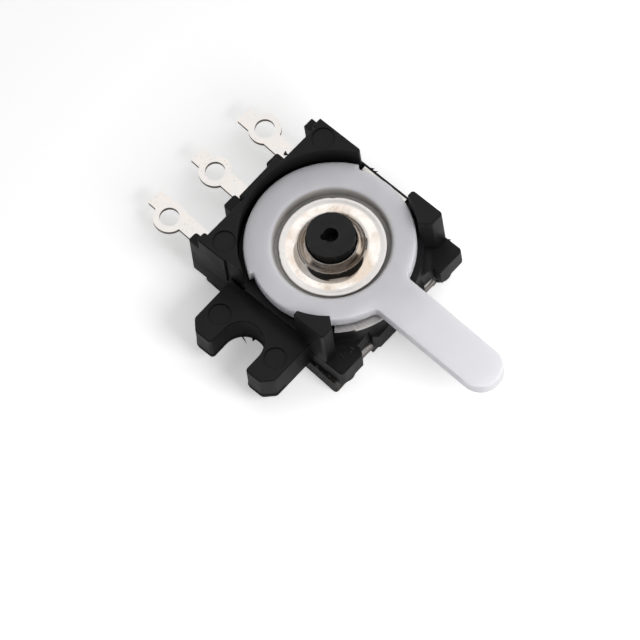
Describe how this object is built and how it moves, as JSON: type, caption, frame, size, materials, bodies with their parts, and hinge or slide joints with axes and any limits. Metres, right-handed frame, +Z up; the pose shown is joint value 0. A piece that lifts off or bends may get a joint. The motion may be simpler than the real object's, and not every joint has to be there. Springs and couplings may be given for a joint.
{
  "type": "reset switch",
  "caption": "Spring-return reset switch: a flat lever ring with an arm turns on a black moulded housing with a mounting fork and a row of solder lugs.",
  "frame": {"origin": "pivot axis at the underside of the contact board", "axes": "+X along the lever's arm, away from the solder lugs; +Z up along the pivot axis; the mounting fork points to -Y"},
  "size_m": [0.0314, 0.0184, 0.008],
  "materials": {
    "board_laminate": "punched phenolic laminate, rough sheared edge",
    "silvered_brass": "silver plated, stamped",
    "black_plastic": "black moulded nylon",
    "plate_steel": "stamped, plated",
    "natural_nylon": "milky natural nylon",
    "nickel_plate": "drawn and nickel plated",
    "carrier_plastic": "moulded phenolic",
    "contact_bronze": "phosphor bronze strip",
    "spring_wire": "drawn spring wire"
  },
  "bodies": {
    "switch_base": {"contact_board": "board_laminate", "terminal_left": "silvered_brass", "terminal_common": "silvered_brass", "terminal_right": "silvered_brass", "left_rivet": "silvered_brass", "common_rivet": "silvered_brass", "right_rivet": "silvered_brass", "housing": "black_plastic", "slide_plate": "plate_steel", "pivot_post": "black_plastic", "retaining_cup": "nickel_plate", "return_spring": "spring_wire"},
    "lever_body": {"lever": "natural_nylon", "contact_carrier": "carrier_plastic", "wiper": "contact_bronze"}
  },
  "joints": [
    {"name": "lever_pivot", "type": "hinge", "parent": "switch_base", "child": "lever_body", "pos_m": [0, 0, 0.0066], "axis": [0, 0, 1], "range_deg": [-25, 25], "stiffness_Nm_per_rad": 0.008, "deforming": ["return_spring"]}
  ]
}
